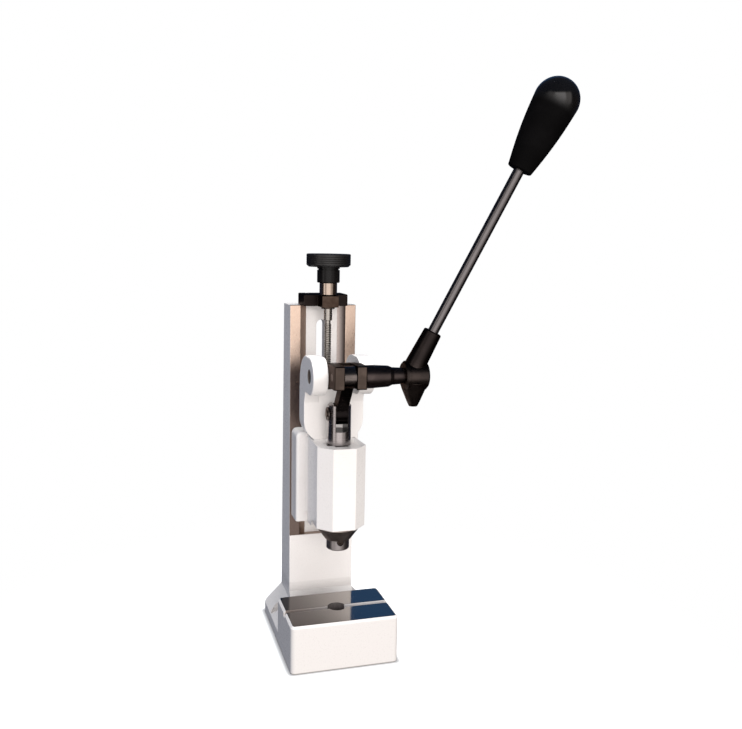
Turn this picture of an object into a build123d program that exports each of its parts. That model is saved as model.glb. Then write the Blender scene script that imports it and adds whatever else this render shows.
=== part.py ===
from build123d import *
import os
from math import atan2, degrees, radians, sqrt, tan

# Tablet press: a small bench press with a toggle mechanism, in millimetres.
# X runs to the operator's right, Y away from the operator, Z up. The origin is where the
# ram's axis meets the underside of the base.

# ---- driving dimensions ------------------------------------------------------------------
# base and table
BASE_HALF = 47.5          # half width of the base
BASE_FRONT = -31.5        # front face of the table block
TABLE_BACK = 32.0         # back face of the table block
TABLE_TOP = 42.5
TABLE_CHAMFER = 2.0       # painted chamfer around the ground table
BASE_BACK = 100.0
BASE_CORNER = 4.0         # radius of the block's upright corners
FOOT_EDGE = 10.0          # height of the rear foot at its outer edge
TABLE_BORE_R = 8.0
GROOVE_HALF = 2.8         # cross groove in the table
GROOVE_DEPTH = 4.5
BOLT_X = 40.0             # bench bolt holes in the rear foot
BOLT_Y = 68.0
BOLT_R = 3.3
BOLT_SEAT_R = 6.5
BOLT_SEAT_Z = 9.0
COLUMN_EDGE = 0.8         # radius of the column's upright edges
ROOT_GUSSET = 7.0         # slope where the column's front meets the rear foot

# column and its guide
COLUMN_HALF = 30.5
COLUMN_FRONT = 61.0
COLUMN_TOP = 305.0
COLUMN_BACK_TOP = 91.0
COLUMN_BACK_LOW = 100.0
COLUMN_FOOT_TOP = 27.0
RAIL_FACE = 61.6          # ground guide faces, set back from the painted front
GUIDE_BOTTOM = 89.0
GUIDE_HALF = 21.0         # half width of the guide channel at its mouth
GUIDE_DEPTH = 6.5         # the channel's walls lie at 45 degrees
SLOT_HALF = 5.0           # clamp slot through the column
SLOT_BOTTOM = 105.0
SLOT_TOP = 291.4
POCKET_HALF = 13.0        # flat pocket behind, in which the clamp plate slides
POCKET_FACE = 86.0
POCKET_BOTTOM = 92.0

# head casting
BODY_FRONT = -20.5        # front facet of the eight-sided body
BODY_FACET_HALF = 10.0
BODY_HALF = 21.3
BODY_CORNER_Y = -9.0
BODY_NECK_HALF = 18.5     # the sides draw in towards the flange
BODY_BOTTOM = 119.5
BODY_TOP = 191.0
FLANGE_HALF = 28.9
FLANGE_FRONT = 39.5
FLANGE_BOTTOM = 110.0
FLANGE_TOP = 193.0
GUIDE_GAP = 0.3           # between the guide's sliding faces
YOKE_HALF = 26.7          # outer faces of the two ears
YOKE_GAP_HALF = 14.0      # inner faces of the two ears
YOKE_BACK = 38.0
WEB_FRONT = 19.0
WEB_TOP = 236.0
WEB_ROUND = 20.0
WEB_SINK = 3.0            # how far the web starts below the body's top
ARM_FOOT = 15.0           # front of the ears' foot on the web
ARM_SINK = 12.0           # how far the ears start below the web's top
GAP_SINK = 13.0           # how far the gap between the ears does
EAR_R = 16.0
EAR_BACK_ROUND = 25.0
EAR_EDGE = 1.0
FLANGE_CORNER = 5.0       # radius of the flange's two top corners
FLANGE_EDGE = 2.5         # radius of its upright front edges
THROAT_CHAMFER = 8.0
BLEND = 3.0               # slope between the body's sides and the flange
BLEND_DROP = 2.0          # the blend ends this far below the body's top

# toggle mechanism
SHAFT_Z = 250.0
SHAFT_R = 6.0
SHAFT_SET_BACK = 1.5      # the shaft's ends lie inside the ears' faces
CRANK_Y = -26.0           # crank pin, with the lever up
CRANK_Z = 253.0
CRANK_PIN_R = 4.0
CRANK_PIN_REACH = 14.0    # how far the crank pin runs into the arbor
LINK_LENGTH = 44.0
LINK_HALF = 5.0           # half thickness of the link
LINK_WEB_HALF = 5.0       # half depth of the link between its eyes
LINK_EYE_R = 9.3
OPEN_EYE_ACROSS = 7.7     # half sizes of the lower eye's oval hole
OPEN_EYE_ALONG = 5.0
RAM_PIN_R = 3.0
RAM_PIN_GROOVE_R = 2.4
FORK_FRONT = -35.6
FORK_HALF = 13.7
FORK_HEIGHT = 19.4
FORK_RISE = 0.35          # the fork's middle lies above the crank pin
FORK_EDGE = 0.8
FORK_FLAT_BACK = -17.0    # where the flat top starts to slope down to the boss
FORK_BOSS_R = 11.2        # boss round the shaft
FORK_SLOT_HALF = 5.65
FORK_SLOT_BACK = -11.0
RUNNING = 0.05            # radial clearance of a running fit

# ram and its bushes
RAM_R = 10.0
RAM_TOP = 226.0
RAM_BOTTOM = 97.7
RAM_SLOT_HALF = 5.3
RAM_SLOT_BOTTOM = 203.0
RAM_CHAMFER = 0.8
COLLAR_R = 13.8           # collar on the ram that takes the spring
COLLAR_BOTTOM = 159.2
COLLAR_TOP = 161.9
TOOL_BORE_R = 5.0
TOOL_BORE_DEPTH = 22.0
SET_SCREW_Z = 105.5
SET_SCREW_R = 3.2
SET_SCREW_LENGTH = 3.6
SET_SCREW_SINK = 0.9      # the screw's end lies inside the ram's face
CLIP_R = 5.9              # spring clip on the ram pin's left end
CLIP_WEB_R = 4.2
CLIP_THICKNESS = 0.8
CLIP_GAP = 0.1            # between the clip and the ram
CLIP_MOUTH_HALF = 1.8
CLIP_PRONG_HALF = 1.1
UPPER_BUSH_R = 12.7
UPPER_BUSH_TOP = 173.5
EYE_RELIEF_HALF = 6.0     # relief in the body for the link's lower eye
EYE_RELIEF_FRONT = -11.8
EYE_RELIEF_BACK = 15.0
EYE_RELIEF_FLOOR = 174.5
CLIP_RELIEF_HALF = 6.4    # relief in the body for the spring clip
CLIP_RELIEF_LEFT = -11.8
CHAMBER_R = 14.6          # spring chamber in the body
CHAMBER_TOP = 162.0
BUSH_R = 10.04
LOWER_BUSH_BOTTOM = 107.0
LOWER_BUSH_R = 19.3
LOWER_BUSH_TIP_R = 11.4
LOWER_BUSH_RIM = 1.6      # height of its cylindrical rim
LOWER_BUSH_SEAT = 113.2
LOWER_BUSH_TOP = 122.0
SPRING_CUP_R = 13.3
SPRING_R = 12.0
SPRING_WIRE_R = 0.7
SPRING_TURNS = 5
SPRING_GAP = 0.05         # between the spring and its seats

# height adjustment
SPINDLE_Y = 44.0
THREAD_R = 3.0
THREAD_EDGE = 0.6
THREAD_PASSAGE_R = 3.6
SHANK_R = 3.7
SPINDLE_BOTTOM = 148.0
SHANK_BOTTOM = 293.0
SPINDLE_TOP = 345.0
SPINDLE_CLIP_R = 6.0
SPINDLE_CLIP_TOP = 304.8
SPINDLE_CLIP_THICKNESS = 1.4
NUT_R = 6.0
NUT_BOTTOM = 170.0
NUT_TOP = 194.0
BRACKET_HALF = 20.0
BRACKET_FRONT = 52.0
BRACKET_BACK = 77.0
BRACKET_TOP = 315.4
TONGUE_HALF = 7.3
TONGUE_FRONT = 35.0
BRACKET_SCREW_X = 12.5
BRACKET_SCREW_Y = 72.0
BRACKET_SCREW_R = 2.5
BRACKET_SCREW_LENGTH = 18.0
BRACKET_TAP_DEPTH = 16.0
BRACKET_SEAT_R = 4.6
BRACKET_SEAT_HEIGHT = 4.6
BRACKET_HEAD_R = 4.25
BRACKET_HEAD_HEIGHT = 5.0
BRACKET_KEY = 4.0         # across the flats of the hexagon socket
BRACKET_EDGE = 0.6
STEEL_COLLAR_R = 7.8
STEEL_COLLAR_BOTTOM = 315.6
STEEL_COLLAR_EDGE = 0.4
KNOB_BOTTOM = 326.4
KNOB_NECK_TOP = 340.2
KNOB_TOP = 351.5
KNOB_R = 19.5
KNOB_NECK_R = 10.0
KNOB_EDGE = 0.9
KNOB_GROOVE_TOP = 338.6   # groove round the knob's neck
KNOB_GROOVE_WIDTH = 1.2
KNOB_GROOVE_DEPTH = 1.0

# clamp behind the column
CLAMP_HEIGHTS = (130.0, 165.0)
CLAMP_SCREW_R = 4.0
CLAMP_HOLE_R = 4.3
CLAMP_TAP_FRONT = 51.0
CLAMP_SCREW_FRONT = 52.0
CLAMP_HEAD_R = 6.5
CLAMP_HEAD_HEIGHT = 8.0
CLAMP_KEY = 6.0
CLAMP_PLATE_GAP = 0.2
CLAMP_PLATE_HALF = 11.0
CLAMP_PLATE_THICKNESS = 6.0
CLAMP_PLATE_END = 13.0    # from the outer screws to the plate's ends
CLAMP_PLATE_EDGE = 0.8
WASHER_R = 8.0
WASHER_HOLE_R = 4.2
WASHER_THICKNESS = 1.6

# lever
ARBOR_R = 9.6
ARBOR_PROFILE = ((20.0, 9.6), (34.0, 8.8), (37.5, 7.3), (47.5, 6.7))   # X and radius
HUB_LEFT = 47.5
HUB_RIGHT = 67.5
HUB_R = 12.5
HUB_EDGE = 1.6
HUB_WALL = 4.0            # what is left of the hub beyond the spigot
SPIGOT_R = 5.0
TAIL_X = 57.0
TAIL_PROFILE = ((227.0, 3.6), (231.6, 5.8), (247.5, 12.4))   # Z and radius
TAIL_SCREW_R = 2.5
TAIL_SCREW_LENGTH = 14.0
TAIL_SCREW_SINK = 0.6
SET_SCREW_KEY = 2.5       # hexagon sockets of both set screws
LEVER_X = 53.2            # where the lever's axis crosses the hub's axis
LEVER_SPREAD = 25.4       # lean to the right, degrees
LEVER_LEAN = 8.0          # lean to the operator, degrees
SOCKET_END = 41.5         # along the lever's axis
SOCKET_R = 9.2
SOCKET_END_R = 7.7
SOCKET_EDGE = 0.8
ROD_R = 4.5
ROD_START = 14.0
ROD_END = 218.0
GRIP_START = 188.0
GRIP_LENGTH = 79.0
GRIP_LOW_R = 10.4
GRIP_LOW_EDGE = 1.2
GRIP_FLANK_R = 15.7       # at FLANK_SHARE of the way up to the dome
GRIP_FLANK_SHARE = 0.55
GRIP_R = 18.4

# ---- derived places ----------------------------------------------------------------------
EPS = 1.0                                   # overshoot of cutting tools
SMALL_EDGE = 0.5                            # chamfer on pins and screws
HEAD_SOCKET_SHARE = 0.55                    # a hexagon socket's depth in a screw's head
SET_SOCKET_SHARE = 0.4                      # and in a set screw
RAM_PIN_Z = CRANK_Z - sqrt(LINK_LENGTH ** 2 - CRANK_Y ** 2)
LINK_ANGLE = degrees(atan2(-CRANK_Y, CRANK_Z - RAM_PIN_Z))
GUIDE_FLOOR = RAIL_FACE + GUIDE_DEPTH
BRACKET_SEAT_Z = COLUMN_TOP + BRACKET_SEAT_HEIGHT
CLAMP_PLATE_FRONT = POCKET_FACE + CLAMP_PLATE_GAP
CLAMP_PLATE_BACK = CLAMP_PLATE_FRONT + CLAMP_PLATE_THICKNESS
TAIL_TIP_Z = TAIL_PROFILE[0][0]
BOTTOM = (Align.CENTER, Align.CENTER, Align.MIN)


# ---- small helpers -----------------------------------------------------------------------
def box(x0, x1, y0, y1, z0, z1):
    """A box between two corners."""
    corner = (Align.MIN, Align.MIN, Align.MIN)
    return Pos(x0, y0, z0) * Box(x1 - x0, y1 - y0, z1 - z0, align=corner)


def z_cylinder(radius, z0, z1, x=0.0, y=0.0):
    return Pos(x, y, z0) * Cylinder(radius, z1 - z0, align=BOTTOM)


def x_cylinder(radius, x0, x1, y, z):
    return Pos(x0, y, z) * Rot(0, 90, 0) * Cylinder(radius, x1 - x0, align=BOTTOM)


def y_cylinder(radius, y0, y1, x, z):
    return Pos(x, y0, z) * Rot(-90, 0, 0) * Cylinder(radius, y1 - y0, align=BOTTOM)


def z_cone(low_r, high_r, z0, z1, x=0.0, y=0.0):
    return Pos(x, y, z0) * Cone(low_r, high_r, z1 - z0, align=BOTTOM)


def side_plate(points, half):
    """A plate from an outline in the Y-Z plane, symmetric about X = 0."""
    face = Plane.YZ * Polygon(*points, align=None)
    return extrude(face, half, both=True)


def plan_prism(points, z0, z1):
    """A prism from an outline in the X-Y plane."""
    return extrude(Pos(0, 0, z0) * Polygon(*points, align=None), z1 - z0, dir=(0, 0, 1))


def front_prism(face, y0, y1):
    """A prism along Y from a face drawn in the X-Z plane."""
    return extrude(Plane.XZ.offset(-y1) * face, y1 - y0, dir=(0, -1, 0))


def mirrored(points):
    """Close a half outline, given at positive X, over the plane X = 0."""
    return points + [(-x, y) for x, y in reversed(points)]


def hexagon_socket(across, depth):
    """The cutting tool of a hexagon socket that opens upwards at Z = 0."""
    return Pos(0, 0, -depth) * extrude(RegularPolygon(across / sqrt(3), 6), depth + EPS)


def socket_screw(shank_r, length, head_r, head_height, hexagon):
    """A socket cap screw along Z, with the underside of its head at Z = 0."""
    head = chamfer(z_cylinder(head_r, 0, head_height).edges().group_by(Axis.Z)[-1], SMALL_EDGE)
    screw = head + z_cylinder(shank_r, -length, 0)
    return screw - Pos(0, 0, head_height) * hexagon_socket(hexagon, head_height * HEAD_SOCKET_SHARE)


def set_screw(radius, length, hexagon):
    """A set screw along Z, with its driven end at Z = 0."""
    return z_cylinder(radius, -length, 0) - hexagon_socket(hexagon, length * SET_SOCKET_SHARE)


# ---- frame -------------------------------------------------------------------------------
def frame_casting():
    table = box(-BASE_HALF, BASE_HALF, BASE_FRONT, TABLE_BACK, 0, TABLE_TOP)
    table = fillet(table.edges().filter_by(Axis.Z), BASE_CORNER)
    table = chamfer(table.faces().sort_by(Axis.Z)[-1].edges(), TABLE_CHAMFER)

    foot_outline = mirrored([
        (BASE_HALF, 0),
        (BASE_HALF, FOOT_EDGE),
        (COLUMN_HALF, COLUMN_FOOT_TOP),
    ])
    foot_face = Polygon(*foot_outline, align=None)
    foot = front_prism(foot_face, TABLE_BACK - 2 * BASE_CORNER, BASE_BACK)
    foot = fillet(foot.edges().filter_by(Axis.Z).group_by(Axis.Y)[-1], BASE_CORNER)

    column = side_plate([
        (COLUMN_FRONT, 0),
        (COLUMN_FRONT, COLUMN_TOP),
        (COLUMN_BACK_TOP, COLUMN_TOP),
        (COLUMN_BACK_LOW, COLUMN_FOOT_TOP),
        (COLUMN_BACK_LOW, 0),
    ], COLUMN_HALF)
    column = fillet(column.edges().filter_by(Axis.Z), COLUMN_EDGE)
    root_gusset = side_plate([
        (COLUMN_FRONT - ROOT_GUSSET, COLUMN_FOOT_TOP - EPS),
        (COLUMN_FRONT - ROOT_GUSSET, COLUMN_FOOT_TOP),
        (COLUMN_FRONT, COLUMN_FOOT_TOP + ROOT_GUSSET),
        (COLUMN_FRONT + EPS, COLUMN_FOOT_TOP - EPS),
    ], COLUMN_HALF)
    casting = table + foot + column + root_gusset

    # ground guide: rails, V channel, clamp slot and the pocket behind it
    top = COLUMN_TOP + EPS
    casting -= box(-BASE_HALF, BASE_HALF, COLUMN_FRONT - EPS, RAIL_FACE, GUIDE_BOTTOM, top)
    floor_half = GUIDE_HALF - GUIDE_DEPTH
    channel = mirrored([
        (floor_half, GUIDE_FLOOR),
        (GUIDE_HALF, RAIL_FACE),
        (GUIDE_HALF, RAIL_FACE - EPS),
    ])
    casting -= plan_prism(channel, GUIDE_BOTTOM, top)
    slot_middle = (SLOT_BOTTOM + SLOT_TOP) / 2
    slot_length = SLOT_TOP - SLOT_BOTTOM
    slot_face = Pos(0, slot_middle) * SlotOverall(slot_length, 2 * SLOT_HALF, rotation=90)
    casting -= front_prism(slot_face, COLUMN_FRONT, BASE_BACK + EPS)
    casting -= box(-POCKET_HALF, POCKET_HALF, POCKET_FACE, BASE_BACK + EPS, POCKET_BOTTOM, top)

    # table bore, cross groove, bench bolt holes and the bracket's tapped holes
    casting -= z_cylinder(TABLE_BORE_R, -EPS, TABLE_TOP + EPS)
    groove_floor = TABLE_TOP - GROOVE_DEPTH
    wide = BASE_HALF + EPS
    casting -= box(-wide, wide, -GROOVE_HALF, GROOVE_HALF, groove_floor, TABLE_TOP + EPS)
    for side in (-1, 1):
        casting -= z_cylinder(BOLT_R, -EPS, TABLE_TOP, side * BOLT_X, BOLT_Y)
        casting -= z_cylinder(BOLT_SEAT_R, BOLT_SEAT_Z, TABLE_TOP, side * BOLT_X, BOLT_Y)
        x = side * BRACKET_SCREW_X
        casting -= z_cylinder(BRACKET_SCREW_R, COLUMN_TOP - BRACKET_TAP_DEPTH, top, x, BRACKET_SCREW_Y)
    return casting


def spindle_bracket():
    low, high = COLUMN_TOP, BRACKET_TOP
    plate = box(-BRACKET_HALF, BRACKET_HALF, BRACKET_FRONT, BRACKET_BACK, low, high)
    plate += box(-TONGUE_HALF, TONGUE_HALF, TONGUE_FRONT, BRACKET_FRONT, low, high)
    plate = chamfer(plate.faces().sort_by(Axis.Z)[-1].edges(), BRACKET_EDGE)
    plate -= z_cylinder(SHANK_R + RUNNING, low - EPS, high + EPS, y=SPINDLE_Y)
    for side in (-1, 1):
        x = side * BRACKET_SCREW_X
        plate -= z_cylinder(BRACKET_SCREW_R, low - EPS, high, x, BRACKET_SCREW_Y)
        plate -= z_cylinder(BRACKET_SEAT_R, BRACKET_SEAT_Z, high + EPS, x, BRACKET_SCREW_Y)
    return plate


def bracket_screws():
    screw = socket_screw(
        BRACKET_SCREW_R, BRACKET_SCREW_LENGTH, BRACKET_HEAD_R, BRACKET_HEAD_HEIGHT, BRACKET_KEY
    )
    return [
        Pos(side * BRACKET_SCREW_X, BRACKET_SCREW_Y, BRACKET_SEAT_Z) * screw
        for side in (-1, 1)
    ]


# ---- height adjustment -------------------------------------------------------------------
def height_spindle():
    thread = z_cylinder(THREAD_R, SPINDLE_BOTTOM, SHANK_BOTTOM, y=SPINDLE_Y)
    thread = chamfer(thread.edges().group_by(Axis.Z)[0], THREAD_EDGE)
    return thread + z_cylinder(SHANK_R, SHANK_BOTTOM, SPINDLE_TOP, y=SPINDLE_Y)


def ring(outer_r, inner_r, z0, z1, y=0.0):
    return z_cylinder(outer_r, z0, z1, y=y) - z_cylinder(inner_r, z0 - EPS, z1 + EPS, y=y)


def spindle_clip():
    low = SPINDLE_CLIP_TOP - SPINDLE_CLIP_THICKNESS
    return ring(SPINDLE_CLIP_R, SHANK_R, low, SPINDLE_CLIP_TOP, SPINDLE_Y)


def steel_collar():
    low, high = STEEL_COLLAR_BOTTOM, KNOB_BOTTOM
    collar = chamfer(z_cylinder(STEEL_COLLAR_R, low, high, y=SPINDLE_Y).edges(), STEEL_COLLAR_EDGE)
    return collar - z_cylinder(SHANK_R, low - EPS, high + EPS, y=SPINDLE_Y)


def spindle_knob():
    neck = z_cylinder(KNOB_NECK_R, KNOB_BOTTOM, KNOB_NECK_TOP, y=SPINDLE_Y)
    groove_low = KNOB_GROOVE_TOP - KNOB_GROOVE_WIDTH
    groove_r = KNOB_NECK_R - KNOB_GROOVE_DEPTH
    neck -= ring(KNOB_NECK_R + EPS, groove_r, groove_low, KNOB_GROOVE_TOP, SPINDLE_Y)
    head = z_cylinder(KNOB_R, KNOB_NECK_TOP, KNOB_TOP, y=SPINDLE_Y)
    head = chamfer(head.edges(), KNOB_EDGE)
    knob = neck + head
    return knob - z_cylinder(SHANK_R, KNOB_BOTTOM - EPS, SPINDLE_TOP, y=SPINDLE_Y)


# ---- head --------------------------------------------------------------------------------
def head_casting():
    body_outline = mirrored([
        (BODY_FACET_HALF, BODY_FRONT),
        (BODY_HALF, BODY_CORNER_Y),
        (BODY_NECK_HALF, FLANGE_FRONT + EPS),
    ])
    body = plan_prism(body_outline, BODY_BOTTOM, BODY_TOP)

    slide_face = RAIL_FACE - GUIDE_GAP
    flange = box(-FLANGE_HALF, FLANGE_HALF, FLANGE_FRONT, slide_face, FLANGE_BOTTOM, FLANGE_TOP)
    flange = fillet(flange.edges().filter_by(Axis.Y).group_by(Axis.Z)[-1], FLANGE_CORNER)
    flange = fillet(flange.edges().filter_by(Axis.Z).group_by(Axis.Y)[0], FLANGE_EDGE)
    joint_y = FLANGE_FRONT + EPS
    throat = box(-BODY_NECK_HALF, BODY_NECK_HALF, WEB_FRONT, joint_y, FLANGE_BOTTOM, BODY_BOTTOM + EPS)
    throat_edge = throat.edges().filter_by(Axis.X).group_by(Axis.Z)[0].sort_by(Axis.Y)[0]
    throat = chamfer(throat_edge, THROAT_CHAMFER)
    blend_start = (BODY_NECK_HALF - EPS, FLANGE_FRONT - BLEND)
    blend = mirrored([(BODY_NECK_HALF + BLEND, joint_y), blend_start])
    body += plan_prism(blend, BODY_BOTTOM, BODY_TOP - BLEND_DROP)

    # V tongue that runs in the column's channel
    gap = GUIDE_GAP * sqrt(2)
    tongue_floor = GUIDE_FLOOR - GUIDE_GAP
    tongue = mirrored([
        (GUIDE_HALF - gap, slide_face - EPS),
        (GUIDE_HALF - gap, slide_face),
        (GUIDE_HALF - gap - (tongue_floor - slide_face), tongue_floor),
    ])
    tongue = plan_prism(tongue, FLANGE_BOTTOM, FLANGE_TOP)

    # yoke: a rounded web that carries two ears
    web_bottom = BODY_TOP - WEB_SINK
    web = box(-YOKE_HALF, YOKE_HALF, WEB_FRONT, YOKE_BACK, web_bottom, WEB_TOP)
    web = fillet(web.edges().filter_by(Axis.Y).group_by(Axis.Z)[0], WEB_ROUND)
    shoulder = box(-BODY_NECK_HALF, BODY_NECK_HALF, YOKE_BACK - EPS, joint_y, web_bottom, FLANGE_TOP)
    arm = side_plate([
        (0, SHAFT_Z - EAR_R),
        (0, SHAFT_Z + EAR_R),
        (YOKE_BACK, SHAFT_Z + EAR_R),
        (YOKE_BACK, WEB_TOP - ARM_SINK),
        (WEB_FRONT, WEB_TOP - ARM_SINK),
        (ARM_FOOT, SHAFT_Z - EAR_R),
    ], YOKE_HALF)
    top_back_edge = arm.edges().filter_by(Axis.X).group_by(Axis.Z)[-1].sort_by(Axis.Y)[-1]
    arm = fillet(top_back_edge, EAR_BACK_ROUND)
    arm += x_cylinder(EAR_R, -YOKE_HALF, YOKE_HALF, 0, SHAFT_Z)
    arm = fillet(arm.faces().filter_by(Axis.X).edges(), EAR_EDGE)
    half, clear = YOKE_GAP_HALF, SHAFT_Z + 2 * EAR_R
    yoke_gap = box(-half, half, -EAR_R - EPS, WEB_FRONT, WEB_TOP - GAP_SINK, clear)
    yoke_gap += box(-half, half, -EAR_R, YOKE_BACK + EPS, WEB_TOP, clear)

    head = body + flange + throat + tongue + shoulder + web + (arm - yoke_gap)

    # ram bore, upper bush seat, spring chamber, and reliefs for the link's eye and the clip
    above = BODY_TOP + EPS
    head -= z_cylinder(BUSH_R, CHAMBER_TOP - EPS, above)
    head -= z_cylinder(UPPER_BUSH_R, CHAMBER_TOP - EPS, UPPER_BUSH_TOP)
    head -= z_cylinder(CHAMBER_R, BODY_BOTTOM - 2 * EPS, CHAMBER_TOP)
    half = EYE_RELIEF_HALF
    head -= box(-half, half, EYE_RELIEF_FRONT, EYE_RELIEF_BACK, EYE_RELIEF_FLOOR, above)
    half = CLIP_RELIEF_HALF
    head -= box(CLIP_RELIEF_LEFT, 0, -half, half, EYE_RELIEF_FLOOR, above)
    # pivot bores, spindle passage, nut seat and tapped clamp holes
    head -= x_cylinder(SHAFT_R + RUNNING, -YOKE_HALF - EPS, YOKE_HALF + EPS, 0, SHAFT_Z)
    head -= z_cylinder(THREAD_PASSAGE_R, FLANGE_BOTTOM - EPS, FLANGE_TOP + EPS, y=SPINDLE_Y)
    head -= z_cylinder(NUT_R, NUT_BOTTOM, FLANGE_TOP + EPS, y=SPINDLE_Y)
    for z in CLAMP_HEIGHTS:
        head -= y_cylinder(CLAMP_SCREW_R, CLAMP_TAP_FRONT, GUIDE_FLOOR + EPS, 0, z)
    return head


def spindle_nut():
    nut = z_cylinder(NUT_R, NUT_BOTTOM, NUT_TOP, y=SPINDLE_Y)
    nut = chamfer(nut.edges().group_by(Axis.Z)[-1], SMALL_EDGE)
    return nut - z_cylinder(THREAD_R + RUNNING, NUT_BOTTOM - EPS, NUT_TOP + EPS, y=SPINDLE_Y)


def clamp_plate():
    front, back = CLAMP_PLATE_FRONT, CLAMP_PLATE_BACK
    low = CLAMP_HEIGHTS[0] - CLAMP_PLATE_END
    high = CLAMP_HEIGHTS[-1] + CLAMP_PLATE_END
    plate = box(-CLAMP_PLATE_HALF, CLAMP_PLATE_HALF, front, back, low, high)
    plate = chamfer(plate.faces().sort_by(Axis.Y)[-1].edges(), CLAMP_PLATE_EDGE)
    for z in CLAMP_HEIGHTS:
        plate -= y_cylinder(CLAMP_HOLE_R, front - EPS, back + EPS, 0, z)
    return plate


def clamp_washers():
    front = CLAMP_PLATE_BACK
    back = front + WASHER_THICKNESS
    washers = []
    for z in CLAMP_HEIGHTS:
        disc = y_cylinder(WASHER_R, front, back, 0, z)
        washers.append(disc - y_cylinder(WASHER_HOLE_R, front - EPS, back + EPS, 0, z))
    return washers


def clamp_screws():
    seat = CLAMP_PLATE_BACK + WASHER_THICKNESS
    length = seat - CLAMP_SCREW_FRONT
    screw = socket_screw(CLAMP_SCREW_R, length, CLAMP_HEAD_R, CLAMP_HEAD_HEIGHT, CLAMP_KEY)
    return [Pos(0, seat, z) * Rot(-90, 0, 0) * screw for z in CLAMP_HEIGHTS]


def upper_ram_bush():
    return ring(UPPER_BUSH_R, BUSH_R, CHAMBER_TOP, UPPER_BUSH_TOP)


def lower_ram_bush():
    rim_bottom = BODY_BOTTOM - LOWER_BUSH_RIM
    bush = z_cone(LOWER_BUSH_TIP_R, LOWER_BUSH_R, LOWER_BUSH_BOTTOM, rim_bottom)
    bush += z_cylinder(LOWER_BUSH_R, rim_bottom, BODY_BOTTOM)
    bush += z_cylinder(CHAMBER_R, BODY_BOTTOM, LOWER_BUSH_TOP)
    bush -= z_cylinder(BUSH_R, LOWER_BUSH_BOTTOM - EPS, LOWER_BUSH_SEAT)
    return bush - z_cylinder(SPRING_CUP_R, LOWER_BUSH_SEAT, LOWER_BUSH_TOP + EPS)


def return_spring():
    low = LOWER_BUSH_SEAT + SPRING_WIRE_R + SPRING_GAP
    height = COLLAR_BOTTOM - SPRING_WIRE_R - SPRING_GAP - low
    path = Pos(0, 0, low) * Helix(height / SPRING_TURNS, height, SPRING_R)
    start = Plane(path @ 0, z_dir=path % 0)
    return sweep(start * Circle(SPRING_WIRE_R), path=path)


# ---- toggle mechanism --------------------------------------------------------------------
def pivot_shaft():
    half = YOKE_HALF - SHAFT_SET_BACK
    return chamfer(x_cylinder(SHAFT_R, -half, half, 0, SHAFT_Z).edges(), SMALL_EDGE)


def crank_fork():
    low = CRANK_Z + FORK_RISE - FORK_HEIGHT / 2
    high = low + FORK_HEIGHT
    reach = FORK_HALF + EPS
    fork = side_plate([
        (FORK_FRONT, low),
        (FORK_FRONT, high),
        (FORK_FLAT_BACK, high),
        (0, SHAFT_Z + FORK_BOSS_R),
        (0, low),
    ], FORK_HALF)
    fork += x_cylinder(FORK_BOSS_R, -FORK_HALF, FORK_HALF, 0, SHAFT_Z)
    fork = chamfer(fork.faces().sort_by(Axis.Y)[0].edges(), FORK_EDGE)
    half = FORK_SLOT_HALF
    fork -= box(-half, half, FORK_FRONT - EPS, FORK_SLOT_BACK, low - EPS, high + EPS)
    fork -= x_cylinder(CRANK_PIN_R, -reach, reach, CRANK_Y, CRANK_Z)
    return fork - x_cylinder(SHAFT_R, -reach, reach, 0, SHAFT_Z)


def crank_pin():
    pin = x_cylinder(CRANK_PIN_R, -FORK_HALF, FORK_HALF + CRANK_PIN_REACH, CRANK_Y, CRANK_Z)
    return chamfer(pin.edges(), SMALL_EDGE)


def lever_arbor():
    spigot_end = HUB_RIGHT - HUB_WALL
    half_outline = Polyline(
        (FORK_HALF, 0),
        (FORK_HALF, ARBOR_R),
        *ARBOR_PROFILE,
        (HUB_LEFT, SPIGOT_R),
        (spigot_end, SPIGOT_R),
        (spigot_end, 0),
        close=True,
    )
    arbor = Pos(0, CRANK_Y, CRANK_Z) * revolve(make_face(half_outline), Axis.X)
    bore_end = FORK_HALF + CRANK_PIN_REACH + EPS
    return arbor - x_cylinder(CRANK_PIN_R, FORK_HALF - EPS, bore_end, CRANK_Y, CRANK_Z)


def lever_frame():
    """The lever's own frame: Z along the lever's axis from the hub's axis."""
    direction = Vector(tan(radians(LEVER_SPREAD)), -tan(radians(LEVER_LEAN)), 1).normalized()
    return Plane(origin=(LEVER_X, CRANK_Y, CRANK_Z), x_dir=(1, 0, 0), z_dir=direction)


def lever_hub():
    hub = x_cylinder(HUB_R, HUB_LEFT, HUB_RIGHT, CRANK_Y, CRANK_Z)
    hub = chamfer(hub.edges(), HUB_EDGE)
    tail = Part()
    for (low, low_r), (high, high_r) in zip(TAIL_PROFILE, TAIL_PROFILE[1:]):
        tail += z_cone(low_r, high_r, low, high, TAIL_X, CRANK_Y)
    reach = 2 * HUB_R
    front, back = CRANK_Y - reach, CRANK_Y + reach
    tail &= box(HUB_LEFT, HUB_RIGHT, front, back, TAIL_TIP_Z, CRANK_Z)
    socket = Cone(SOCKET_R, SOCKET_END_R, SOCKET_END, align=BOTTOM)
    socket = chamfer(socket.edges().group_by(Axis.Z)[-1], SOCKET_EDGE)
    hub += tail + lever_frame().location * socket
    hub -= box(HUB_LEFT - reach, HUB_LEFT, front, back, TAIL_TIP_Z, CRANK_Z + reach)
    hub -= x_cylinder(SPIGOT_R, HUB_LEFT - EPS, HUB_RIGHT - HUB_WALL, CRANK_Y, CRANK_Z)
    hub -= lever_frame().location * z_cylinder(ROD_R, ROD_START, SOCKET_END + EPS)
    return hub - z_cylinder(TAIL_SCREW_R, TAIL_TIP_Z - EPS, CRANK_Z, TAIL_X, CRANK_Y)


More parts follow.
